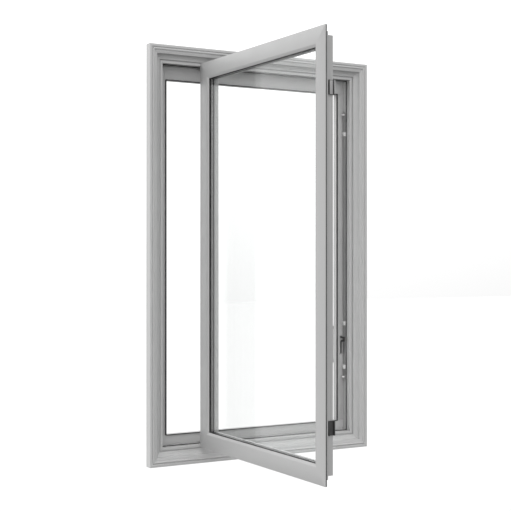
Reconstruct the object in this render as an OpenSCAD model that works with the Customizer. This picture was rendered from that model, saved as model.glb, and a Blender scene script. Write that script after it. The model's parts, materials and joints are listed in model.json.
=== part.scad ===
// Push-out casement window: a moulded casing round a box frame, and one glazed sash
// carried on a pair of two-arm stays, with a two-point tie bar lock.
// X runs from the hinge side to the lock side, Y from outdoors to indoors, Z up.
// The origin is the middle of the underside of the frame sill. The sash stands open.

/* [Overall] */
// Width over the casing
window_w = 838; // [700:1:1100]
// Height over the casing
window_h = 1350; // [1150:1:1700]

/* [Casing] */
// Depth of the casing at its outer edge
casing_depth = 29; // [27:0.5:40]
// Width of the casing, outer edge to opening
casing_w = 56; // [54:0.5:65]
// Depth at which the flat land for the sash lies
land_depth = 25; // [23:0.5:26]
// Width of the flat land
land_w = 9; // [8:0.5:11]
// Width of the lip that covers the frame
lip_w = 6; // [4:0.5:8]
// Depth of the lip's inner end
lip_depth = 46; // [40:0.5:50]
// Radius of the casing's outer nose
nose_r = 1.2; // [0.5:0.1:2]
// Width of the groove beside the land
groove_w = 3; // [2:0.5:4]
// Depth of that groove below the land
groove_depth = 3; // [1:0.5:4]
// Radius of the small beads on the casing
bead_r = 4; // [2:0.5:5]

/* [Frame] */
// Inset of the frame's outer faces from the casing's outer edge
frame_inset = 40; // [34:0.5:44]
// Thickness of a jamb, head or sill
frame_wall = 18; // [16:0.5:22]
// Depth of the frame behind the casing
frame_depth = 83; // [75:1:120]
// Thickness of the stop boards
stop_t = 20; // [14:0.5:22]
// Depth of the rebate from the frame gasket to the stop face
rebate_depth = 17; // [16:0.5:22]
// Width of the side stops
side_stop_w = 28; // [26:0.5:36]
// Width of the head stop
head_stop_w = 46; // [30:0.5:50]
// Width of the sill stop
sill_stop_w = 33.5; // [30:0.5:44]
// Thickness of the frame gasket
frame_gasket_t = 2; // [1.5:0.5:4]
// Amount by which the frame gasket stands out of the rebate wall
frame_gasket_proud = 0.5; // [0.5:0.5:1.5]
// Width of the stop gasket
stop_gasket_w = 2.5; // [2:0.5:6]
// Depth of the stop gasket's seat
stop_gasket_seat = 2; // [2:0.5:8]
// Amount by which the stop gasket stands out of the stop face
stop_gasket_proud = 5; // [1:0.5:6]

/* [Sash] */
// Lap of the sash flange over the casing land
sash_lap = 6; // [5:0.5:8]
// Thickness of the sash
sash_t = 41; // [38:0.5:42]
// Thickness of the outer flange
flange_t = 3; // [2:0.5:4]
// Width of the outer flange
flange_w = 15; // [14:0.5:17]
// Depth at which the sash steps in a second time
step_depth = 19.5; // [16:0.5:20]
// Inset of the second step from the sash edge
step_w = 23.5; // [23:0.5:28]
// Width of the flat outer face of a stile or rail
face_w = 46; // [44:0.5:60]
// Width of the sloping glazing lip beside the flat face
slope_w = 8; // [5:0.5:12]
// Depth of the sloping glazing lip
slope_depth = 4; // [3:0.5:5]
// Thickness of the edge gasket
edge_gasket_t = 3; // [2:0.5:3]
// Width of the edge gasket
edge_gasket_w = 5; // [3:0.5:8]
// Gap between the edge gasket and the casing land when shut
edge_gap = 0.5; // [0.4:0.1:1]

/* [Glazing] */
// Thickness of each pane
pane_t = 3; // [3:0.5:4]
// Thickness of the spacer between the panes
spacer_t = 7; // [6:0.5:8]
// Width of the spacer
spacer_w = 9; // [7:0.5:12]
// Thickness of each glazing gasket
glazing_gasket_t = 2; // [1:0.5:3]
// Gap round the edge of the glass
glass_gap = 3; // [2:0.5:5]
// Depth of the glazing rebate, from the pocket to the sight line
glazing_rebate = 10; // [8:0.5:12]
// Thickness of the glazing lip's edge
lip_edge_t = 1.5; // [1:0.5:2]
// Length of a setting block
block_l = 100; // [60:5:120]

/* [Stays] */
// Angle that the sash turns through
open_turn = 89.6; // [88:0.1:90]
// Distance that the sash's hinge edge travels along the window as it opens
open_shift = 134; // [130:0.5:138]
// Distance that the sash's hinge edge moves outdoors as it opens
open_reach = 6.5; // [6:0.5:8]
// Place of the short arm's pivot along the sash
short_u = 62; // [60:0.5:64]
// Depth of the short arm's pivot behind the sash face
short_v = 24; // [23:0.5:26]
// Depth of the short arm's frame pivot behind the stay base's outer edge
short_y = 5.5; // [4:0.5:8.5]
// Place of the long arm's pin along the sash when shut
long_shut_u = 82; // [81:0.5:84]
// Place of the long arm's pin along the sash when open
long_open_u = 90; // [88:0.5:92]
// Depth of the long arm's slot behind the sash face
long_v = 28; // [27:0.5:29]
// Depth of the long arm's frame pivot behind the stay base's outer edge
long_y = 6; // [4.5:0.5:8.5]
// Room each side of the long arm's pin in its slot
long_slack = 2.6; // [2.4:0.1:3]
// Width of an arm
arm_w = 12; // [11:0.5:12]
// Thickness of an arm
arm_t = 2.5; // [2:0.5:2.5]
// Thickness of the stay base
base_t = 3; // [2:0.5:3]
// Radius of a stay rivet
rivet_r = 3; // [2.5:0.5:3]

/* [Lock] */
// Travel of the tie bar
lock_travel = 40; // [36:1:44]
// Distance of each keeper from its end of the window, before the drop
keeper_end = 210; // [120:1:300]
// Distance of the keepers' middle below the middle of the window
keeper_drop = 6; // [0:1:20]
// Length of a keeper
keeper_l = 40; // [34:1:44]
// Width of the tie bar
bar_w = 12; // [10:0.5:12]
// Thickness of the tie bar
bar_t = 2.5; // [2:0.5:3]
// Radius of a lock roller
roller_r = 4; // [3:0.5:4]
// Height of the lever's pivot above the lower keeper
lever_rise = 153; // [140:1:250]
// Angle that the lever turns through
lever_turn = 70; // [60:1:80]
// Length of the lever's grip
grip_l = 90; // [70:1:110]
// Width of the lever
lever_w = 5; // [4:0.5:6]
// Thickness of the fork that the crank pin drives
fork_w = 3.5; // [3:0.5:4]
// Thickness of the lock case walls
case_wall = 2; // [1.5:0.5:3]

/* [Fasteners] */
// Radius of the hole for a jamb screw
jamb_hole_r = 2.75; // [2:0.25:4]
// Distance between the two screw holes of a jamb
jamb_hole_gap = 850; // [500:10:1000]
// Radius of a hardware screw
screw_r = 1.8; // [1.5:0.1:2]
// Length of a hardware screw
screw_l = 14; // [10:1:16]

/* [Hidden] */
$fn = 48;
eps = 0.01;
move_gap = 0.5;    // between pieces that pass each other
run_gap = 0.05;    // round a pin that turns in a hole
seat_gap = 0.2;    // between a loose piece and its pocket

// Frame: insets from the casing's outer edge, and depths from its front
frame_in = frame_inset + frame_wall;
origin_depth = casing_depth + frame_depth / 2;
frame_back = casing_depth + frame_depth;
gasket_back = lip_depth + frame_gasket_t;
stop_face = gasket_back + rebate_depth;
stop_back = stop_face + stop_t;
side_sight = frame_in + side_stop_w;
head_sight = frame_in + head_stop_w;
sill_sight = frame_in + sill_stop_w;
lip_in = casing_w - lip_w;
chamber_w = 10;
chamber_wall = 4;
frame_chamber_start = stop_face - 5;
frame_chamber_l = 22;
frame_key_leg = 70;

// Sash: insets from its own edge, and depths behind its face
sash_inset = casing_w - sash_lap;
sash_w = window_w - 2 * sash_inset;
sash_h = window_h - 2 * sash_inset;
sash_face = land_depth - flange_t - edge_gasket_t - edge_gap;
sight_w = face_w + slope_w;
pocket_w = sight_w - glazing_rebate;
lip_back = slope_depth + lip_edge_t;
outer_pane = lip_back + glazing_gasket_t;
spacer_start = outer_pane + pane_t;
inner_pane = spacer_start + spacer_t;
bead_start = inner_pane + pane_t + glazing_gasket_t;
glass_inset = pocket_w + glass_gap;
gasket_sight = sight_w + 2;
sash_chamber_w = 11;
sash_chamber_t = 13;
sash_chamber_start = sash_t - 4 - sash_chamber_t;
sash_chamber_in = step_w + 4;
sash_key_leg = 44;

// Stays: pivots in plan, from the casing's outer edge and its front
open_x = sash_inset + open_shift;
open_y = sash_face - open_reach;
base_front = gasket_back + move_gap;
base_w = stop_face - base_front - move_gap;
long_wander = 2;    // of the long arm's pin from the middle of its slot
function shut_pivot(u, v) = [sash_inset + u, sash_face + v];
function open_pivot(u, v) = [
    open_x + u * cos(open_turn) + v * sin(open_turn),
    open_y - u * sin(open_turn) + v * cos(open_turn)];
function level_pivot(a, b, y) =
    [(b.x^2 + (b.y - y)^2 - a.x^2 - (a.y - y)^2) / (2 * (b.x - a.x)), y];
short_sash = open_pivot(short_u, short_v);
long_sash = open_pivot(long_open_u, long_v + long_wander);
short_frame = level_pivot(shut_pivot(short_u, short_v), short_sash, base_front + short_y);
long_frame = level_pivot(
    shut_pivot(long_shut_u, long_v - long_wander), long_sash, base_front + long_y);
short_l = norm(short_sash - short_frame);
long_l = norm(long_sash - long_frame);

// Stays: heights above the frame sill's top face, the same below the head
base_end = 14;
short_level = base_t + move_gap;
long_level = short_level + arm_t + 1.3;
plate_level = long_level + arm_t + 0.7;
plate_top = sash_inset + step_w - frame_in;
rivet_head_t = 0.8;
rivet_head_r = rivet_r + 1.5;
plate_u = short_u - 16;
plate_l = long_open_u + 34 - plate_u;
slot_u = [long_shut_u - 6.6, long_open_u + 0.8];
slot_r = rivet_r + long_slack;
plate_v = step_depth + move_gap;
plate_w = sash_t - plate_v - 1;

// Lock: insets from the casing's outer edge and depths from its front
bar_in = frame_in + move_gap;
bar_face = bar_in + bar_t;
bar_front = gasket_back + 1.5;
bar_end_room = 12;
roller_y = bar_front + roller_r + 0.2;
roller_in = bar_face + 0.4;
keeper_face = sash_inset + flange_w;
keeper_base_t = 3;
keeper_base = sash_inset + step_w - keeper_base_t;
roller_end = keeper_base - move_gap;
keeper_lip = roller_y + roller_r + 0.6;
keeper_lip_t = 3.2;
keeper_front = sash_face + step_depth + 3;
keeper_cheek_t = 3;
window_mid = window_h / 2;
keeper_half = window_mid - keeper_end;
keeper_mid = window_mid - keeper_drop;
keeper_places = [keeper_mid + keeper_half, keeper_mid - keeper_half];
lever_z = keeper_places[1] + lever_rise;
lever_y = stop_back + 12;
crank_l = lock_travel / 2 / sin(lever_turn / 2);
crank_in = bar_face + fork_w + move_gap;
pin_r = 3;
pin_gap = 0.8;
fork_in = bar_face;
fork_h = 16;
fork_back = lever_y - crank_l * cos(lever_turn / 2) + pin_r + 2;
slot_h = lock_travel + fork_h + 8;
slot_in = fork_in - 0.4;
slot_out = crank_in + lever_w + 1.5;
case_in = frame_in + 1;
case_out = crank_in + lever_w + case_wall + 1;
case_h = 110;
case_back = frame_back - 4;
cover_t = 3;
cover_h = 132;
cover_slot_h = 58;
spindle_r = 4;
hub_r = 8;
grip_bend = 90 - lever_turn / 2;
guide_h = 14;
guide_t = 2;
guide_clear = [29, 76, 77];    // from the upper keeper, the lower keeper and the lever
guide_places = [
    keeper_places[0] - guide_clear[0], keeper_places[1] + guide_clear[1], lever_z + guide_clear[2]];
roller_places = [for (z = keeper_places) z + lock_travel];

// Turns a member that lies along the bottom into one on another side of a rectangle
module on_side(side, w, h) {
    if (side == "bottom") children();
    if (side == "top") translate([0, 0, h]) mirror([0, 0, 1]) children();
    if (side == "left") mirror([1, 0, -1]) children();
    if (side == "right") translate([w, 0, 0]) mirror([1, 0, 0]) mirror([1, 0, -1]) children();
}

// Length of a member on a side of a rectangle
function side_l(side, w, h) = side == "left" || side == "right" ? h : w;

// An outline of [depth, inset] points swept along X
module sweep(l) {
    rotate([90, 0, 90]) linear_extrude(l) children();
}

// The swept outline with both ends cut to 45 degrees
module mitred(l, reach, depth) {
    intersection() {
        sweep(l) children();
        translate([0, depth, 0]) rotate([90, 0, 0]) linear_extrude(2 * depth)
            polygon([[0, 0], [l, 0], [l - reach, reach], [reach, reach]]);
    }
}

// One mitred member of a w by h rectangle
module ring_side(side, w, h, reach, depth) {
    on_side(side, w, h) mitred(side_l(side, w, h), reach, depth) children();
}

// A rectangular ring of one width: its outer inset, width, start depth and thickness
module ring(inset, ring_w, start, t, w, h) {
    difference() {
        translate([inset, start, inset]) cube([w - 2 * inset, t, h - 2 * inset]);
        translate([inset + ring_w, start - 1, inset + ring_w])
            cube([w - 2 * (inset + ring_w), t + 2, h - 2 * (inset + ring_w)]);
    }
}

// Puts the window's working corner, the casing's front bottom edge, round the origin
module placed() {
    translate([-window_w / 2, -origin_depth, -frame_inset]) children();
}

// Puts the sash, drawn shut from its own front bottom corner, at its open place
module opened() {
    placed() translate([open_x, open_y, sash_inset]) rotate(-open_turn) children();
}

function arc(c, r, from, to, n = 8) =
    [for (i = [0:n]) c + r * [cos(from + (to - from) * i / n), sin(from + (to - from) * i / n)]];

// Casing outline: nose, two beads, a cove, a groove, the flat land and the lip
cove_start = 6.5;
groove_in = casing_w - land_w;
cove_end = groove_in - groove_w;
cove_r = land_depth - cove_start - groove_depth + 0.5;
bead_mid = 10 + bead_r;
bead_back = bead_mid + bead_r;
casing_outline = concat(
    [[casing_depth, 0]],
    arc([nose_r, nose_r], nose_r, 270, 180, 4),
    [[0, 8], [1.2, 9]],
    arc([bead_r, bead_mid], bead_r, 250, 100, 8),
    [[3.5, bead_back], [3.5, bead_back + 1.5], [cove_start, cove_end - cove_r - 1]],
    arc([cove_start, cove_end], cove_r, 270, 360, 10),
    [[land_depth + groove_depth, cove_end + 0.5], [land_depth + groove_depth, groove_in],
     [land_depth + 0.5, groove_in], [land_depth, groove_in + 0.5],
     [land_depth, casing_w - 1], [land_depth + 1, casing_w], [lip_depth, casing_w],
     [lip_depth, lip_in], [casing_depth, lip_in]]);

module casing(side) {
    color([0.76, 0.76, 0.76]) placed()
        ring_side(side, window_w, window_h, casing_w + 1, lip_depth + 1) polygon(casing_outline);
}

module casing_left() { casing("left"); }
module casing_right() { casing("right"); }
module casing_head() { casing("top"); }
module casing_sill() { casing("bottom"); }

// Frame outline with its hollow chamber
module frame_outline() {
    difference() {
        polygon([
            [casing_depth, frame_inset], [frame_back, frame_inset], [frame_back, frame_in],
            [gasket_back, frame_in], [gasket_back, lip_in], [casing_depth, lip_in]]);
        translate([frame_chamber_start, frame_inset + chamber_wall])
            square([frame_chamber_l, chamber_w]);
    }
}

module frame_member(side) {
    ring_side(side, window_w, window_h, frame_in + 1, frame_back + 1) frame_outline();
}

// Two screw holes through a side jamb
module jamb_holes() {
    for (s = [-1, 1])
        translate([frame_inset - 1, frame_back - 12, window_mid + s * jamb_hole_gap / 2])
            rotate([0, 90, 0]) cylinder(h = frame_wall + 2, r = jamb_hole_r);
}

module jamb_hinge() {
    color([0.73, 0.73, 0.73]) placed() difference() {
        frame_member("left");
        jamb_holes();
    }
}

module jamb_lock() {
    color([0.73, 0.73, 0.73]) placed() difference() {
        frame_member("right");
        translate([window_w, 0, 0]) mirror([1, 0, 0]) jamb_holes();
    }
}

module frame_head() {
    color([0.73, 0.73, 0.73]) placed() difference() {
        frame_member("top");
        both_ends("upper") stay_base_holes();
    }
}

module frame_sill() {
    color([0.73, 0.73, 0.73]) placed() difference() {
        frame_member("bottom");
        both_ends("lower") stay_base_holes();
    }
}

// An L-shaped key for the chambers of one mitred corner
module corner_key(inset, start, w, t, leg) {
    a = inset + seat_gap;
    b = start + seat_gap;
    translate([a, b, a]) cube([leg, t - 2 * seat_gap, w - 2 * seat_gap]);
    translate([a, b, a]) cube([w - 2 * seat_gap, t - 2 * seat_gap, leg]);
}

module corner_keys(w, h, inset, start, kw, kt, leg) {
    for (x = [0, 1], z = [0, 1])
        translate([x * w, 0, z * h]) mirror([x, 0, 0]) mirror([0, 0, z])
            corner_key(inset, start, kw, kt, leg);
}

module frame_corner_keys() {
    color([0.6, 0.6, 0.62]) placed()
        corner_keys(window_w, window_h, frame_inset + chamber_wall, frame_chamber_start,
            chamber_w, frame_chamber_l, frame_key_leg);
}

// Stop boards: the head and sill run through, the sides stand between them
module sight_box(edge, start, t) {
    x = side_sight - edge;
    z = sill_sight - edge;
    translate([x, start, z]) cube([window_w - 2 * x, t, window_h - head_sight + edge - z]);
}

module stop_gasket_room() {
    sight_box(stop_gasket_w, stop_face - 1, stop_gasket_seat + 1);
}

module stop_end(z, w) {
    difference() {
        translate([frame_in, stop_face, z]) cube([window_w - 2 * frame_in, stop_t, w]);
        stop_gasket_room();
    }
}

module stop_side() {
    difference() {
        translate([frame_in, stop_face, sill_sight])
            cube([side_stop_w, stop_t, window_h - head_sight - sill_sight]);
        stop_gasket_room();
    }
}

module stop_hinge() { color([0.74, 0.74, 0.74]) placed() stop_side(); }
module stop_head() {
    color([0.74, 0.74, 0.74]) placed() stop_end(window_h - head_sight, head_stop_w);
}

module stop_sill() { color([0.74, 0.74, 0.74]) placed() stop_end(frame_in, sill_stop_w); }

module stop_lock() {
    color([0.74, 0.74, 0.74]) placed() translate([window_w, 0, 0]) mirror([1, 0, 0]) difference() {
        stop_side();
        translate([slot_in, stop_face - 1, lever_z - slot_h / 2])
            cube([slot_out - slot_in, stop_t + 2, slot_h]);
    }
}

module frame_gasket() {
    w = frame_in + frame_gasket_proud - lip_in - 1;
    color([0.12, 0.12, 0.12]) placed()
        ring(lip_in + 1, w, lip_depth, frame_gasket_t, window_w, window_h);
}

module stop_gasket() {
    start = stop_face - stop_gasket_proud;
    t = stop_gasket_proud + stop_gasket_seat;
    color([0.12, 0.12, 0.12]) placed() difference() {
        sight_box(stop_gasket_w, start, t);
        sight_box(0, start - 1, t + 2);
    }
}

// Sash outline: flange, two steps, the glazing pocket and the sloping lip
module sash_outline() {
    difference() {
        polygon([
            [0, 0], [flange_t, 0], [flange_t, flange_w], [step_depth, flange_w],
            [step_depth, step_w], [sash_t, step_w], [sash_t, pocket_w], [lip_back, pocket_w],
            [lip_back, sight_w], [slope_depth, sight_w], [0, face_w]]);
        translate([sash_chamber_start, sash_chamber_in]) square([sash_chamber_t, sash_chamber_w]);
    }
}

module sash_member(side) {
    ring_side(side, sash_w, sash_h, sight_w + 1, sash_t + 1) sash_outline();
}

module sash_stile_hinge() { color([0.78, 0.78, 0.78]) opened() sash_member("left"); }

module sash_stile_lock() {
    color([0.78, 0.78, 0.78]) opened() difference() {
        sash_member("right");
        keeper_screw_sites() screw_room();
    }
}

module sash_rail_top() {
    color([0.78, 0.78, 0.78]) opened() difference() {
        sash_member("top");
        sash_ends("upper") sash_plate_sites() screw_room();
    }
}

module sash_rail_bottom() {
    color([0.78, 0.78, 0.78]) opened() difference() {
        sash_member("bottom");
        sash_ends("lower") sash_plate_sites() screw_room();
    }
}

module sash_corner_keys() {
    color([0.6, 0.6, 0.62]) opened() difference() {
        corner_keys(sash_w, sash_h, sash_chamber_in, sash_chamber_start,
            sash_chamber_w, sash_chamber_t, sash_key_leg);
        sash_ends("upper") sash_plate_sites() screw_room();
        sash_ends("lower") sash_plate_sites() screw_room();
    }
}

module sash_edge_gasket() {
    color([0.12, 0.12, 0.12]) opened()
        ring(0, edge_gasket_w, flange_t, edge_gasket_t, sash_w, sash_h);
}

module pane(start) {
    translate([glass_inset, start, glass_inset])
        cube([sash_w - 2 * glass_inset, pane_t, sash_h - 2 * glass_inset]);
}

module glass_outer() { color([0.8, 0.88, 0.86, 0.3]) opened() pane(outer_pane); }
module glass_inner() { color([0.8, 0.88, 0.86, 0.3]) opened() pane(inner_pane); }

module glass_spacer() {
    color([0.35, 0.36, 0.37]) opened()
        ring(glass_inset, spacer_w, spacer_start, spacer_t, sash_w, sash_h);
}

module glazing_gasket(start) {
    w = gasket_sight - glass_inset - 1;
    ring(glass_inset + 1, w, start, glazing_gasket_t, sash_w, sash_h);
}

module glazing_gasket_outer() { color([0.12, 0.12, 0.12]) opened() glazing_gasket(lip_back); }

module glazing_gasket_inner() {
    color([0.12, 0.12, 0.12]) opened() glazing_gasket(inner_pane + pane_t);
}

// Indoor glazing beads, cut square to the pocket and mitred at the corners
module bead(side) {
    chamfer = 3;
    color([0.78, 0.78, 0.78]) opened()
        ring_side(side, sash_w, sash_h, sight_w + 1, sash_t + 1)
            polygon([
                [bead_start, pocket_w], [sash_t, pocket_w], [sash_t, sight_w - chamfer],
                [sash_t - chamfer, sight_w], [bead_start, sight_w]]);
}

module bead_hinge() { bead("left"); }
module bead_lock() { bead("right"); }
module bead_top() { bead("top"); }
module bead_bottom() { bead("bottom"); }

// Two blocks under the glass, a quarter of the way in from each end
module setting_blocks() {
    color([0.25, 0.25, 0.28]) opened()
        for (x = [sash_w / 4, sash_w * 3 / 4])
            translate([x - block_l / 2, outer_pane, pocket_w])
                cube([block_l, inner_pane + pane_t - outer_pane, glass_gap]);
}

// Stays are drawn at the sill, from its top face up, and mirrored for the head
module both_ends(which) {
    if (which == "lower") translate([0, 0, frame_in]) children();
    if (which == "upper") translate([0, 0, window_h - frame_in]) mirror([0, 0, 1]) children();
}

module sash_ends(which) {
    up = frame_in - sash_inset;
    if (which == "lower") translate([0, 0, up]) children();
    if (which == "upper") translate([0, 0, sash_h - up]) mirror([0, 0, 1]) children();
}

// A flat link with round ends from the origin along X
module link(l) {
    translate([0, -arm_w / 2, 0]) cube([l, arm_w, arm_t]);
    for (x = [0, l]) translate([x, 0, 0]) cylinder(h = arm_t, r = arm_w / 2);
}

module between(a, b) {
    translate([a.x, a.y, 0]) rotate(atan2(b.y - a.y, b.x - a.x)) children();
}

// A rivet that stands up from a plate and heads over the arm it carries
module rivet(from, to) {
    translate([0, 0, from]) cylinder(h = to - from, r = rivet_r);
    translate([0, 0, to]) cylinder(h = rivet_head_t, r = rivet_head_r);
}

base_x = short_frame.x - base_end;
base_l = long_frame.x - short_frame.x + 2 * base_end;
base_screw_gap = 16;
base_screw_x = [
    short_frame.x + base_screw_gap, (short_frame.x + long_frame.x) / 2, long_frame.x - base_screw_gap];

module stay_base_screw_sites() {
    for (x = base_screw_x) translate([x, base_front + base_w / 2, base_t]) mirror([0, 0, 1]) children();
}

module stay_base_holes() { stay_base_screw_sites() screw_room(); }

// A countersunk screw with its head flush at the origin, pointing up
module screw() {
    cylinder(h = screw_r, r1 = 2 * screw_r, r2 = screw_r);
    cylinder(h = screw_l, r = screw_r);
}

module screw_room() {
    translate([0, 0, -eps]) cylinder(h = screw_l + 1, r = screw_r + run_gap);
}

module screw_sink() {
    screw_room();
    translate([0, 0, -eps])
        cylinder(h = screw_r + eps, r1 = 2 * screw_r + run_gap, r2 = screw_r + run_gap);
}

module stay_base() {
    difference() {
        translate([base_x, base_front, 0]) cube([base_l, base_w, base_t]);
        stay_base_screw_sites() screw_sink();
    }
    translate([short_frame.x, short_frame.y, 0]) rivet(base_t - 1, short_level + arm_t + 0.1);
    translate([long_frame.x, long_frame.y, 0]) rivet(base_t - 1, long_level + arm_t + 0.1);
    translate([long_frame.x, long_frame.y, 0]) cylinder(h = long_level - 0.1, r = rivet_head_r);
}

module stay_base_upper() { color([0.7, 0.7, 0.72]) placed() both_ends("upper") stay_base(); }
module stay_base_lower() { color([0.7, 0.7, 0.72]) placed() both_ends("lower") stay_base(); }

module stay_base_screws() {
    color([0.66, 0.66, 0.68]) placed() {
        both_ends("upper") stay_base_screw_sites() screw();
        both_ends("lower") stay_base_screw_sites() screw();
    }
}

module short_arm() {
    between(short_frame, short_sash) translate([0, 0, short_level]) difference() {
        link(short_l);
        for (x = [0, short_l])
            translate([x, 0, -1]) cylinder(h = arm_t + 2, r = rivet_r + run_gap);
    }
}

module long_arm() {
    between(long_frame, long_sash) translate([0, 0, long_level]) difference() {
        union() {
            link(long_l);
            translate([long_l, 0, 0]) cylinder(h = plate_top - move_gap - long_level, r = rivet_r);
        }
        translate([0, 0, -1]) cylinder(h = arm_t + 2, r = rivet_r + run_gap);
    }
}

module short_arm_upper() { color([0.7, 0.7, 0.72]) placed() both_ends("upper") short_arm(); }
module short_arm_lower() { color([0.7, 0.7, 0.72]) placed() both_ends("lower") short_arm(); }
module long_arm_upper() { color([0.7, 0.7, 0.72]) placed() both_ends("upper") long_arm(); }
module long_arm_lower() { color([0.7, 0.7, 0.72]) placed() both_ends("lower") long_arm(); }

// The bracket under the sash rail: the short arm's rivet, and a slot for the long arm's pin
module sash_plate_sites() {
    for (u = [plate_u + 6, long_open_u + 13, plate_u + plate_l - 7])
        translate([u, plate_v + plate_w / 2, plate_level]) children();
}

module sash_rivet(u, v, level) {
    translate([u, v, 0]) translate([0, 0, plate_level + 1]) mirror([0, 0, 1])
        rivet(0, plate_level + 1 - level + 0.1);
}

module sash_plate() {
    difference() {
        translate([plate_u, plate_v, plate_level]) cube([plate_l, plate_w, plate_top - plate_level]);
        sash_plate_sites() screw_sink();
        translate([slot_u[0], long_v - slot_r, plate_level - 1])
            cube([slot_u[1] - slot_u[0], 2 * slot_r, plate_top]);
        for (u = slot_u) translate([u, long_v, plate_level - 1]) cylinder(h = plate_top, r = slot_r);
    }
    sash_rivet(short_u, short_v, short_level);
}

module sash_plate_upper() { color([0.7, 0.7, 0.72]) opened() sash_ends("upper") sash_plate(); }
module sash_plate_lower() { color([0.7, 0.7, 0.72]) opened() sash_ends("lower") sash_plate(); }

module sash_plate_screws() {
    color([0.66, 0.66, 0.68]) opened() {
        sash_ends("upper") sash_plate_sites() screw();
        sash_ends("lower") sash_plate_sites() screw();
    }
}

// The lock is drawn as if on the hinge side and mirrored to the lock side
module lock_side() {
    placed() translate([window_w, 0, 0]) mirror([1, 0, 0]) children();
}

bar_bottom = roller_places[1] - bar_end_room;
bar_top = roller_places[0] + bar_end_room;

module tie_bar() {
    color([0.55, 0.55, 0.56]) lock_side() difference() {
        translate([bar_in, bar_front, bar_bottom]) cube([bar_t, bar_w, bar_top - bar_bottom]);
        for (z = roller_places)
            translate([bar_in - 1, roller_y, z]) rotate([0, 90, 0])
                cylinder(h = bar_t + 2, r = roller_r - 2 + eps);
    }
}

// A roller on its stud
module lock_roller(z) {
    color([0.85, 0.85, 0.84]) lock_side() translate([bar_in, roller_y, z]) rotate([0, 90, 0]) {
        cylinder(h = roller_end - bar_in, r = roller_r - 2);
        translate([0, 0, roller_in - bar_in]) cylinder(h = roller_end - roller_in, r = roller_r);
    }
}

module lock_roller_upper() { lock_roller(roller_places[0]); }
module lock_roller_lower() { lock_roller(roller_places[1]); }

// Bridges that hold the tie bar to the jamb
module tie_bar_guides() {
    front = bar_front - move_gap - 0.8;
    back = bar_front + bar_w + move_gap;
    top = bar_face + move_gap;
    color([0.9, 0.9, 0.89]) lock_side() for (z = guide_places) translate([0, 0, z - guide_h / 2]) {
        translate([frame_in, front, 0]) cube([top + guide_t - frame_in, 0.8, guide_h]);
        translate([frame_in, back, 0])
            cube([top + guide_t - frame_in, min(1.2, stop_face - back), guide_h]);
        translate([top, front, 0]) cube([guide_t, back - front + 1, guide_h]);
    }
}

// The fork on the tie bar that the lever's crank pin drives
module drive_fork() {
    pin_z = lever_z + lock_travel / 2;
    pin_slot = pin_r + pin_gap;
    color([0.2, 0.2, 0.2]) lock_side() difference() {
        translate([fork_in, bar_front, pin_z - fork_h / 2])
            cube([fork_w, fork_back - bar_front, fork_h]);
        translate([fork_in - 1, lever_y - crank_l - pin_slot, pin_z - pin_slot])
            cube([fork_w + 2, fork_back, 2 * pin_slot]);
    }
}

// A keeper on the edge of the lock stile: a channel open at both ends
module keeper(z) {
    color([0.13, 0.13, 0.13]) opened() translate([sash_w, 0, 0]) mirror([1, 0, 0])
        translate([-sash_inset, -sash_face, z - sash_inset - keeper_l / 2]) difference() {
            union() {
                translate([keeper_base, keeper_front, 0])
                    cube([keeper_base_t, keeper_lip + keeper_lip_t - keeper_front, keeper_l]);
                translate([keeper_face, keeper_front, 0])
                    cube([keeper_base - keeper_face + eps, keeper_cheek_t, keeper_l]);
                translate([keeper_face, keeper_lip, 0])
                    cube([keeper_base - keeper_face + eps, keeper_lip_t, keeper_l]);
            }
            for (k = [0.2, 0.8]) translate([keeper_base, keeper_screw_y, k * keeper_l])
                rotate([0, 90, 0]) screw_sink();
        }
}

keeper_screw_y = (keeper_front + keeper_cheek_t + keeper_lip) / 2;

module keeper_upper() { keeper(keeper_places[0]); }
module keeper_lower() { keeper(keeper_places[1]); }

module keeper_screw_sites() {
    translate([sash_w, 0, 0]) mirror([1, 0, 0])
        for (z = keeper_places, k = [0.2, 0.8])
            translate([keeper_base - sash_inset, keeper_screw_y - sash_face,
                z - sash_inset + (k - 0.5) * keeper_l])
                rotate([0, 90, 0]) children();
}

module keeper_screws() { color([0.4, 0.4, 0.4]) opened() keeper_screw_sites() screw(); }

// The lock case behind the stop, open towards it
module lock_case() {
    w = case_out - case_in;
    d = case_back - stop_back;
    color([0.6, 0.6, 0.62]) lock_side() difference() {
        translate([case_in, stop_back, lever_z - case_h / 2]) cube([w, d, case_h]);
        translate([case_in + case_wall, stop_back - 1, lever_z - case_h / 2 + case_wall])
            cube([w - 2 * case_wall, d + 2, case_h - 2 * case_wall]);
        translate([case_in - 1, lever_y, lever_z]) rotate([0, 90, 0])
            cylinder(h = w + 2, r = spindle_r + eps);
    }
}

module lock_spindle() {
    color([0.5, 0.5, 0.52]) lock_side() translate([case_in, lever_y, lever_z]) rotate([0, 90, 0])
        cylinder(h = case_out - case_in, r = spindle_r);
}

cover_screw_z = cover_h / 2 - 6;

module cover_screw_sites() {
    for (s = [-1, 1]) translate([(case_in + case_out) / 2, case_back + cover_t, lever_z + s * cover_screw_z])
        rotate([90, 0, 0]) children();
}

module lock_cover() {
    w = case_out - case_in + 2;
    color([0.76, 0.76, 0.76]) lock_side() difference() {
        translate([case_in - 1, case_back, lever_z - cover_h / 2]) cube([w, cover_t, cover_h]);
        translate([crank_in - 1.5, case_back - 1, lever_z - cover_slot_h / 2])
            cube([lever_w + 3, cover_t + 2, cover_slot_h]);
        cover_screw_sites() screw_sink();
    }
    for (s = [-1, 1]) lock_side() color([0.6, 0.6, 0.62]) difference() {
        translate([(case_in + case_out) / 2 - 5, stop_back, lever_z + s * cover_screw_z - 4.5])
            cube([10, case_back - stop_back, 9]);
        cover_screw_sites() screw_room();
    }
}

module lock_cover_screws() { color([0.66, 0.66, 0.68]) lock_side() cover_screw_sites() screw(); }

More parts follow.
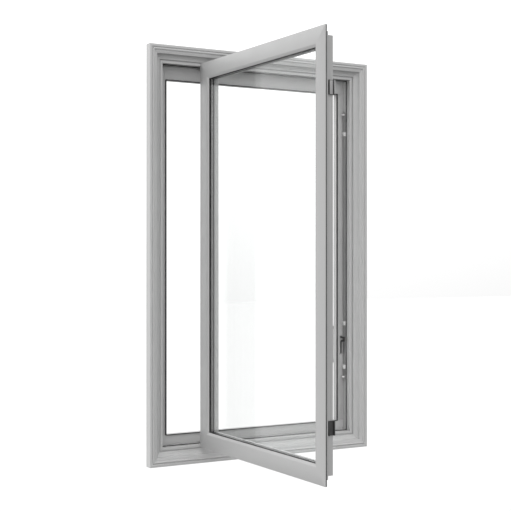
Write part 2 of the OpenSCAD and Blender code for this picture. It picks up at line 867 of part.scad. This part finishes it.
// The lever: hub, crank with its pin, neck and grip, drawn with the crank level
module lever_bar(l, half_w) {
    translate([0, 0, -half_w]) cube([lever_w, l, 2 * half_w]);
}

module lever_round(r) {
    rotate([0, 90, 0]) cylinder(h = lever_w, r = r);
}

module lever_blank() {
    neck_l = 32;
    half_w = 5;
    lever_round(hub_r);
    mirror([0, 1, 0]) lever_bar(crank_l, half_w);
    translate([0, -crank_l, 0]) lever_round(half_w + 0.6);
    translate([pin_gap - fork_w - move_gap, -crank_l, 0]) rotate([0, 90, 0])
        cylinder(h = fork_w + move_gap, r = pin_r);
    lever_bar(neck_l, half_w);
    translate([0, neck_l, 0]) {
        lever_round(half_w + 1);
        rotate([grip_bend, 0, 0]) {
            lever_bar(grip_l, half_w);
            translate([0, grip_l, 0]) lever_round(half_w + 1.5);
        }
    }
}

module lock_lever() {
    color([0.76, 0.76, 0.76]) lock_side() translate([crank_in, lever_y, lever_z])
        rotate([-lever_turn / 2, 0, 0]) difference() {
            lever_blank();
            translate([-1, 0, 0]) rotate([0, 90, 0])
                cylinder(h = lever_w + 2, r = spindle_r + run_gap);
        }
}

casing_left();
casing_right();
casing_head();
casing_sill();
jamb_hinge();
jamb_lock();
frame_head();
frame_sill();
frame_corner_keys();
stop_hinge();
stop_lock();
stop_head();
stop_sill();
frame_gasket();
stop_gasket();
sash_stile_hinge();
sash_stile_lock();
sash_rail_top();
sash_rail_bottom();
sash_corner_keys();
sash_edge_gasket();
glass_outer();
glass_inner();
glass_spacer();
glazing_gasket_outer();
glazing_gasket_inner();
bead_hinge();
bead_lock();
bead_top();
bead_bottom();
setting_blocks();
stay_base_upper();
stay_base_lower();
short_arm_upper();
short_arm_lower();
long_arm_upper();
long_arm_lower();
sash_plate_upper();
sash_plate_lower();
stay_base_screws();
sash_plate_screws();
tie_bar();
tie_bar_guides();
lock_roller_upper();
lock_roller_lower();
drive_fork();
keeper_upper();
keeper_lower();
keeper_screws();
lock_case();
lock_cover();
lock_spindle();
lock_lever();
lock_cover_screws();
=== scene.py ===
"""The looks of a casement window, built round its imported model. Metres throughout."""
import json
import math

import bmesh
import bpy
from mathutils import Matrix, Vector


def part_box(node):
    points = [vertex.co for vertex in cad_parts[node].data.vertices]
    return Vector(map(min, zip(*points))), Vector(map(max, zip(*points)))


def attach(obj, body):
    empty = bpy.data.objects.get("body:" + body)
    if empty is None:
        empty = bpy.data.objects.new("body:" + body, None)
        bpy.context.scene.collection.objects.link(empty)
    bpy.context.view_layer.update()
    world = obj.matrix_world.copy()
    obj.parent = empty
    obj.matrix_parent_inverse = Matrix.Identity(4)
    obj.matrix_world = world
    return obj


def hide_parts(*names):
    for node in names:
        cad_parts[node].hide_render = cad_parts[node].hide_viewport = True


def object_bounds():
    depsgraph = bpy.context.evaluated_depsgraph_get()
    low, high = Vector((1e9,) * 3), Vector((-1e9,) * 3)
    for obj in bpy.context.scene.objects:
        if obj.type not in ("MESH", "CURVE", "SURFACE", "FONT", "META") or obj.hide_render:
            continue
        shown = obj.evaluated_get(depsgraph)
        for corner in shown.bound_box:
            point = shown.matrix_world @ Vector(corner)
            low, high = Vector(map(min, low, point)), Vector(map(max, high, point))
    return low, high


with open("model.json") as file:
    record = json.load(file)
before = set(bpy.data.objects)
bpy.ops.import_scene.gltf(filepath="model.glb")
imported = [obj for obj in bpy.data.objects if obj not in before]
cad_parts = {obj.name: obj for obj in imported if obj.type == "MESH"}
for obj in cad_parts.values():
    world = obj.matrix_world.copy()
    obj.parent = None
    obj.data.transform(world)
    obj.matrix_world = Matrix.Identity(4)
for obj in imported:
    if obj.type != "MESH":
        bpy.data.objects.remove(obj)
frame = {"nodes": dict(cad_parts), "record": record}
nodes = frame["nodes"]
cad_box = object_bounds()

MM = 0.001


# ---------------------------------------------------------------- shader maths

class Val:
    """A node's output, so that shader maths reads as an expression."""

    def __init__(self, mat, socket):
        self.mat = mat
        self.socket = socket

    def math(self, operation, *others):
        return self.mat.node("ShaderNodeMath", {"operation": operation},
                             dict(enumerate((self,) + others)))

    def __add__(self, other):
        return self.math("ADD", other)

    def __mul__(self, other):
        return self.math("MULTIPLY", other)

    __radd__ = __add__
    __rmul__ = __mul__

    def power(self, other):
        return self.math("POWER", other)

    def band(self, low, high, to_low=0.0, to_high=1.0):
        """The value moved from low..high to to_low..to_high, held at its ends."""
        sockets = {"Value": self, "From Min": low, "From Max": high,
                   "To Min": to_low, "To Max": to_high}
        return self.mat.node("ShaderNodeMapRange", {"clamp": True}, sockets, "Result")


class Finish:
    """A material with one shader, and the nodes that feed it."""

    def __init__(self, name):
        self.data = bpy.data.materials.new(name)
        self.data.use_nodes = True
        self.tree = self.data.node_tree
        self.shader = self.tree.nodes["Principled BSDF"]

    def node(self, kind, settings=None, sockets=None, output=0):
        """Adds a node: its settings first, then the values or links of its sockets."""
        made = self.tree.nodes.new(kind)
        for key, value in (settings or {}).items():
            if key == "stops":
                ramp = made.color_ramp.elements
                while len(ramp) < len(value):
                    ramp.new(0.5)
                for stop, (place, colour) in zip(ramp, value):
                    stop.position = place
                    stop.color = colour
            else:
                setattr(made, key, value)
        for key, value in (sockets or {}).items():
            self.feed(made.inputs[key], value)
        return Val(self, made.outputs[output])

    def feed(self, socket, value):
        if isinstance(value, Val):
            self.tree.links.new(value.socket, socket)
        else:
            socket.default_value = value

    def set(self, **sockets):
        """Sets or links the shader's own sockets: base_color feeds Base Color."""
        for key, value in sockets.items():
            name = SOCKETS[key]
            self.feed(self.shader.inputs[name], value)
        return self

    def place(self, scale=(1.0, 1.0, 1.0)):
        """Object coordinates, stretched by scale."""
        at = self.node("ShaderNodeTexCoord", output="Object")
        return self.node("ShaderNodeMapping", {}, {"Vector": at, "Scale": scale})

    def noise(self, scale, detail=3.0, stretch=(1.0, 1.0, 1.0)):
        return self.node("ShaderNodeTexNoise", {},
                         {"Vector": self.place(stretch), "Scale": scale, "Detail": detail,
                          "Roughness": 0.5})

    def edge_wear_and_highlight(self):
        """Nearly 1 on sharp outer edges, 0 on flats and in grooves: where edges are painted
        lighter, as rubbed wear and as a painted highlight.
        """
        flat = 0.52
        sharp = 0.60
        return self.node("ShaderNodeNewGeometry", output="Pointiness").band(flat, sharp)

    def tint(self, mask, first, second):
        """One colour where mask is 0 and the other where it is 1."""
        return self.node("ShaderNodeMix", {"data_type": "RGBA"},
                         {0: mask, 6: first, 7: second}, 2)

    def bump(self, height, distance, strength=1.0):
        return self.node("ShaderNodeBump", {},
                         {"Height": height, "Distance": distance, "Strength": strength})


SOCKETS = {
    "base_color": "Base Color",
    "roughness": "Roughness",
    "metallic": "Metallic",
    "normal": "Normal",
    "specular": "Specular IOR Level",
    "glow": "Emission Color",
    "glow_strength": "Emission Strength",
}


def grey(level):
    return (level, level, level, 1.0)


# ---------------------------------------------------------------- finishes

def satin_paint(name, level):
    """Sprayed satin paint: a fine orange peel, faint clouding and a few dusty specks."""
    paint = Finish(name)
    cloudy = grey(0.96 * level)
    dusty = grey(0.80 * level)
    clouds = paint.noise(3.0, 3.0).band(0.35, 0.65)
    specks = paint.noise(260.0, 2.0).band(0.58, 0.72)
    colour = paint.tint(clouds * 0.5, grey(level), cloudy)
    colour = paint.tint(specks * 0.10, colour, dusty)
    peel = paint.noise(900.0, 2.0)
    grain = paint.noise(2600.0, 1.0)
    rough = paint.noise(18.0, 3.0).band(0.3, 0.7, 0.36, 0.46)
    paint.set(base_color=colour, roughness=rough, specular=0.45,
              normal=paint.bump(peel * 0.7 + grain * 0.3, 0.00004, 0.25))
    return paint


def seal_rubber():
    """Extruded black rubber: matte, drawn along its length, with a little dust."""
    rubber = Finish("seal_rubber")
    dust = rubber.noise(60.0, 4.0).band(0.5, 0.8)
    colour = rubber.tint(dust * 0.25, grey(0.012), grey(0.05))
    lines = rubber.noise(1500.0, 1.0, (1.0, 1.0, 0.05))
    rubber.set(base_color=colour, roughness=rubber.noise(90.0).band(0.3, 0.7, 0.55, 0.75),
               normal=rubber.bump(lines, 0.00005, 0.4))
    return rubber


def clear_glass():
    """Float glass: see-through with a faint green body, and a mirror at low angles."""
    least_shine = 0.015
    low_angle_shine = 0.50
    glass = Finish("clear_glass")
    see = glass.node("ShaderNodeBsdfTransparent", {}, {"Color": (0.996, 0.999, 0.998, 1.0)})
    mirror = glass.node("ShaderNodeBsdfGlossy", {}, {"Color": grey(1.0), "Roughness": 0.0})
    facing = glass.node("ShaderNodeLayerWeight", {}, {"Blend": 0.5}, "Facing")
    film = glass.noise(3.0, 3.0).band(0.3, 0.7, 0.90, 1.0)
    shine = (facing.power(5.0) * low_angle_shine + least_shine) * film
    mixed = glass.node("ShaderNodeMixShader", {}, {0: shine, 1: see, 2: mirror})
    output = glass.tree.nodes["Material Output"]
    glass.tree.nodes.remove(glass.shader)
    glass.feed(output.inputs["Surface"], mixed)
    return glass


def drawn_metal(name, level, rough, stretch, dull=0.75):
    """Brushed or rolled metal with lines along one way, and sharp edges painted brighter, as
    rubbed wear and as a painted highlight.
    """
    metal = Finish(name)
    lines = metal.noise(700.0, 3.0, stretch)
    patches = metal.noise(30.0, 3.0).band(0.35, 0.7)
    colour = metal.tint(patches * 0.5, grey(level), grey(level * dull))
    # Sharp edges made brighter: partly rubbed wear, partly a painted highlight.
    colour = metal.tint(metal.edge_wear_and_highlight() * 0.5, colour, grey(min(1.0, level * 1.3)))
    metal.set(base_color=colour, metallic=1.0,
              roughness=lines.band(0.3, 0.7, rough - 0.08, rough + 0.10),
              normal=metal.bump(lines, 0.00003, 0.5))
    return metal


def moulded(name, level, rough):
    """Moulded plastic or coating with a fine spark-eroded grain."""
    plastic = Finish(name)
    # Sharp edges made lighter: partly rubbed wear, partly a painted highlight.
    rubbed_and_highlit = grey(min(1.0, level * 1.5 + 0.01))
    colour = plastic.tint(plastic.edge_wear_and_highlight() * 0.4, grey(level), rubbed_and_highlit)
    grain = plastic.noise(1400.0, 2.0)
    plastic.set(base_color=colour,
                roughness=plastic.noise(120.0).band(0.3, 0.7, rough - 0.06, rough + 0.08),
                normal=plastic.bump(grain, 0.00004, 0.5))
    return plastic


# The casing, frame and sash are one and the same paint. Their levels differ so that each
# part's colour stands in for how light falls on it: painted light and shade.
FINISHES = {
    "casing_paint": satin_paint("casing_paint", 0.335),
    "frame_paint": satin_paint("frame_paint", 0.34),
    "sash_paint": satin_paint("sash_paint", 0.285),
    "lever_paint": satin_paint("lever_paint", 0.29),
    "black_rubber": seal_rubber(),
    "glass": clear_glass(),
    "spacer": drawn_metal("spacer_bar", 0.16, 0.45, (1.0, 1.0, 1.0)),
    "block": moulded("setting_block", 0.03, 0.6),
    "key_metal": drawn_metal("mill_aluminium", 0.55, 0.4, (1.0, 1.0, 0.1)),
    "stay_steel": drawn_metal("stainless_strip", 0.55, 0.32, (0.2, 1.0, 1.0)),
    "lock_steel": drawn_metal("zinc_plate", 0.42, 0.42, (1.0, 1.0, 0.05)),
    "pale_plastic": moulded("pale_plastic", 0.42, 0.40),
    "black_plastic": moulded("black_plastic", 0.02, 0.5),
    "keeper_black": moulded("keeper_black", 0.018, 0.42),
}

slot_of = {part["node"]: part["material_slot"] for part in frame["record"]["subparts"]}
body_of = {node: body for body, members in frame["record"]["behaviour"]["bodies"].items()
           for node in members}


def dress(thing, finish):
    thing.data.materials.clear()
    thing.data.materials.append(finish.data)


# ---------------------------------------------------------------- pieces

def piece_from(bm, name, node):
    """Makes a piece of a bmesh, riding and finished as the node that it goes with."""
    mesh = bpy.data.meshes.new(name)
    bm.normal_update()
    bm.to_mesh(mesh)
    bm.free()
    piece = bpy.data.objects.new(name, mesh)
    bpy.context.scene.collection.objects.link(piece)
    mesh.shade_smooth()
    mesh.set_sharp_from_angle(angle=math.radians(28))
    dress(piece, FINISHES[slot_of[node]])
    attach(piece, body_of[node])
    return piece


def merged_copy(node):
    """The node's mesh with its loose triangles joined and its flats made whole."""
    bm = bmesh.new()
    bm.from_mesh(nodes[node].data)
    bmesh.ops.remove_doubles(bm, verts=bm.verts, dist=0.002 * MM)
    bmesh.ops.dissolve_limit(bm, angle_limit=math.radians(0.4), verts=bm.verts, edges=bm.edges)
    return bm


def is_mitre(face, node):
    """Whether a face is one half of a mitre joint between two members."""
    across = face.normal.y if node.startswith(("sash_", "bead_")) else face.normal.x
    half_right_angle = 0.70
    return abs(across) > half_right_angle and abs(face.normal.z) > half_right_angle


def eased(node, radius):
    """The node with its sharp edges rounded over, in place of the CAD solid."""
    sharp = math.radians(25)
    bm = merged_copy(node)
    bm.normal_update()
    edges = [e for e in bm.edges
             if e.is_manifold and e.calc_face_angle(0.0) > sharp
             and not any(is_mitre(face, node) for face in e.link_faces)]
    bmesh.ops.bevel(bm, geom=edges, offset=radius, segments=2, profile=0.5,
                    affect="EDGES", clamp_overlap=True, material=-1)
    piece = piece_from(bm, node + "_eased", node)
    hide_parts(node)
    return piece


EASE = {
    "casing": 0.5 * MM,
    "jamb": 0.5 * MM,
    "frame_head": 0.5 * MM,
    "frame_sill": 0.5 * MM,
    "stop": 0.6 * MM,
    "sash_stile": 0.45 * MM,
    "sash_rail": 0.45 * MM,
    "bead": 0.5 * MM,
    "lock_cover": 0.5 * MM,
    "lock_lever": 1.6 * MM,
    "keeper_upper": 0.4 * MM,
    "keeper_lower": 0.4 * MM,
    "drive_fork": 0.4 * MM,
    "tie_bar": 0.25 * MM,
    "long_arm": 0.25 * MM,
    "short_arm": 0.25 * MM,
    "stay_base": 0.2 * MM,
    "sash_plate": 0.25 * MM,
    "lock_roller": 0.4 * MM,
}
EASE_SEAL = 0.4 * MM
SEALS = ("frame_gasket", "stop_gasket", "sash_edge_gasket",
         "glazing_gasket_outer", "glazing_gasket_inner")

for node in nodes:
    start = next((key for key in EASE if node.startswith(key)), None)
    if start and not node.endswith("screws"):
        eased(node, EASE[start])
    elif node in SEALS:
        eased(node, EASE_SEAL)
    else:
        dress(nodes[node], FINISHES[slot_of[node]])


def wear_plate(name, low, high):
    """A thin pale plate with eased edges, fixed to the upper keeper."""
    size = high - low
    bm = bmesh.new()
    bmesh.ops.create_cube(bm, size=1.0)
    bmesh.ops.scale(bm, verts=bm.verts, vec=size)
    bmesh.ops.translate(bm, verts=bm.verts, vec=(low + high) / 2)
    bmesh.ops.bevel(bm, geom=bm.edges[:], offset=min(size) / 3, segments=2, profile=0.5,
                    affect="EDGES", clamp_overlap=True, material=-1)
    piece = piece_from(bm, name, "keeper_upper")
    dress(piece, FINISHES["lever_paint"])


def keeper_plates():
    """Wear plates on the floor of the upper keeper's channel and on its lip."""
    low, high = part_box("keeper_upper")
    base_t = 3.0 * MM
    cheek_t = 3.2 * MM
    lip_t = 3.2 * MM
    plate_t = 0.3 * MM
    sunk = 0.1 * MM
    edge = 1.2 * MM
    floor_y = high.y - base_t
    wear_plate("keeper_floor_plate",
               Vector((low.x + cheek_t, floor_y - plate_t, low.z + edge)),
               Vector((high.x - lip_t - sunk, floor_y + sunk, high.z - edge)))
    wear_plate("keeper_lip_plate",
               Vector((high.x - lip_t, low.y - plate_t, low.z + edge)),
               Vector((high.x - sunk, low.y + sunk, high.z - edge)))


keeper_plates()


# ---------------------------------------------------------------- floor, light and camera

casing_low, casing_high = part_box("casing_left")
whole_low = cad_box[0]
middle_z = (casing_low.z + casing_high.z) / 2
casing_front = casing_low.y
left_edge = casing_low.x
height = casing_high.z - casing_low.z


def floor_finish():
    """Plain white, lit a little from within so that it meets the surroundings unseen."""
    level = 0.25
    finish = Finish("floor_white")
    faint = finish.noise(2.0).band(0.3, 0.7, 0.0, 1.0)
    finish.set(base_color=finish.tint(faint, grey(level), grey(level * 0.99)), roughness=0.9,
               specular=0.0, glow=grey(1.0), glow_strength=0.55)
    return finish


def studio_floor():
    """A wide, level, pale floor under the window, which hangs as if in its wall."""
    half_width = 30.0
    drop = 0.9
    bm = bmesh.new()
    bmesh.ops.create_grid(bm, x_segments=2, y_segments=2, size=half_width)
    bmesh.ops.translate(bm, verts=bm.verts, vec=(0, 0, whole_low.z - drop))
    mesh = bpy.data.meshes.new("studio_floor")
    bm.to_mesh(mesh)
    bm.free()
    floor = bpy.data.objects.new("studio_floor", mesh)
    bpy.context.scene.collection.objects.link(floor)
    dress(floor, floor_finish())
    floor.visible_diffuse = False
    floor.visible_glossy = False


def studio():
    """White surroundings, brighter overhead and on the hinge side."""
    even_level = 1.3
    brighter_towards = (-0.45, 0.0, 1.2)
    studio_floor()
    world = bpy.data.worlds.new("studio")
    bpy.context.scene.world = world
    world.use_nodes = True
    tree = world.node_tree
    towards = tree.nodes.new("ShaderNodeTexCoord").outputs["Generated"]
    weigh = tree.nodes.new("ShaderNodeVectorMath")
    weigh.operation = "DOT_PRODUCT"
    weigh.inputs[1].default_value = brighter_towards
    tree.links.new(towards, weigh.inputs[0])
    level = tree.nodes.new("ShaderNodeMath")
    level.operation = "ADD"
    level.inputs[1].default_value = even_level
    tree.links.new(weigh.outputs["Value"], level.inputs[0])
    tree.nodes["Background"].inputs["Color"].default_value = grey(1.0)
    tree.links.new(level.outputs[0], tree.nodes["Background"].inputs["Strength"])
    bpy.context.scene.view_settings.view_transform = "Standard"


def camera():
    """A level camera at the window's middle height, left of it and outdoors."""
    focal_px = 1134.0
    frame_px = 511.0
    left = 1.098 * height
    back = 2.441 * height
    turn = math.radians(29.53)
    data = bpy.data.cameras.new("camera")
    data.sensor_width = 36.0
    data.lens = data.sensor_width * focal_px / frame_px
    eye = bpy.data.objects.new("camera", data)
    eye.location = (left_edge - left, casing_front - back, middle_z)
    eye.rotation_euler = (math.radians(90), 0, -turn)
    data.clip_start = 0.05
    data.clip_end = 100
    bpy.context.scene.collection.objects.link(eye)
    bpy.context.scene.camera = eye


studio()
camera()
